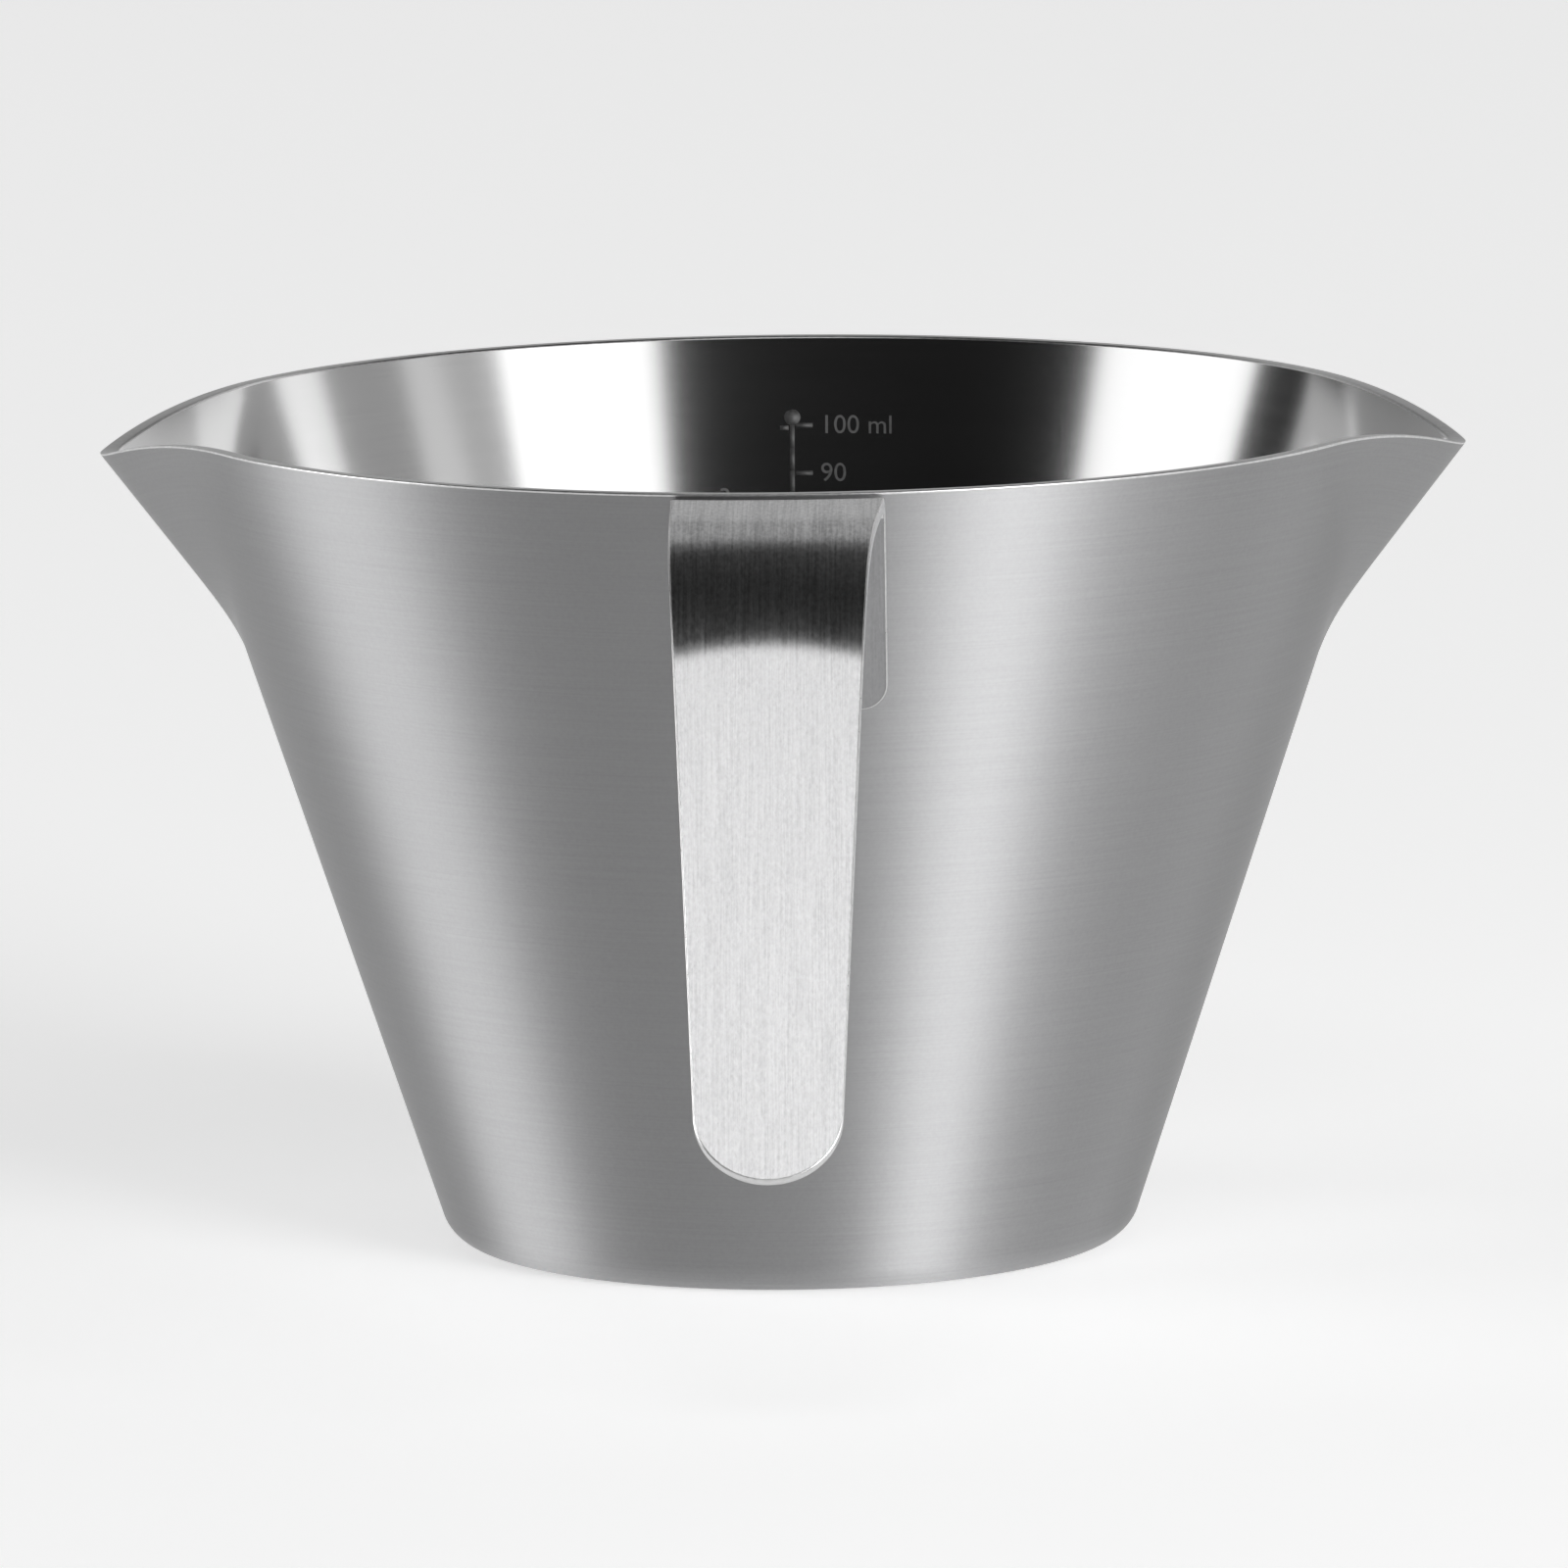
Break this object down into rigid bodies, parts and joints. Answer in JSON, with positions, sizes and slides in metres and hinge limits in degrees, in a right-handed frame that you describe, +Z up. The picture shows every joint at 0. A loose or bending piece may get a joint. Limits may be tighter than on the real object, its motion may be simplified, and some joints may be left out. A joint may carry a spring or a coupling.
{
  "type": "double-lipped measuring cup with strap handle",
  "caption": "Small flared sheet-metal measuring cup with opposed pouring lips and an open strap handle bent out and down from the rim.",
  "frame": {"origin": "centre of the flat underside, on the surface that the cup stands on", "axes": "+Z up along the cup's axis, -Y towards the handle, the two pouring lips along -X and +X"},
  "size_m": [0.0812, 0.1047, 0.0495],
  "materials": {
    "cup_steel": "stainless steel brushed around the cup",
    "handle_steel": "stainless steel brushed along the strip",
    "weld_steel": "dull spot-weld faces"
  },
  "bodies": {
    "root": {"cup_body": "cup_steel", "handle_strap": "handle_steel", "spot_weld_1": "weld_steel", "spot_weld_2": "weld_steel", "spot_weld_3": "weld_steel", "spot_weld_4": "weld_steel"}
  },
  "joints": []
}
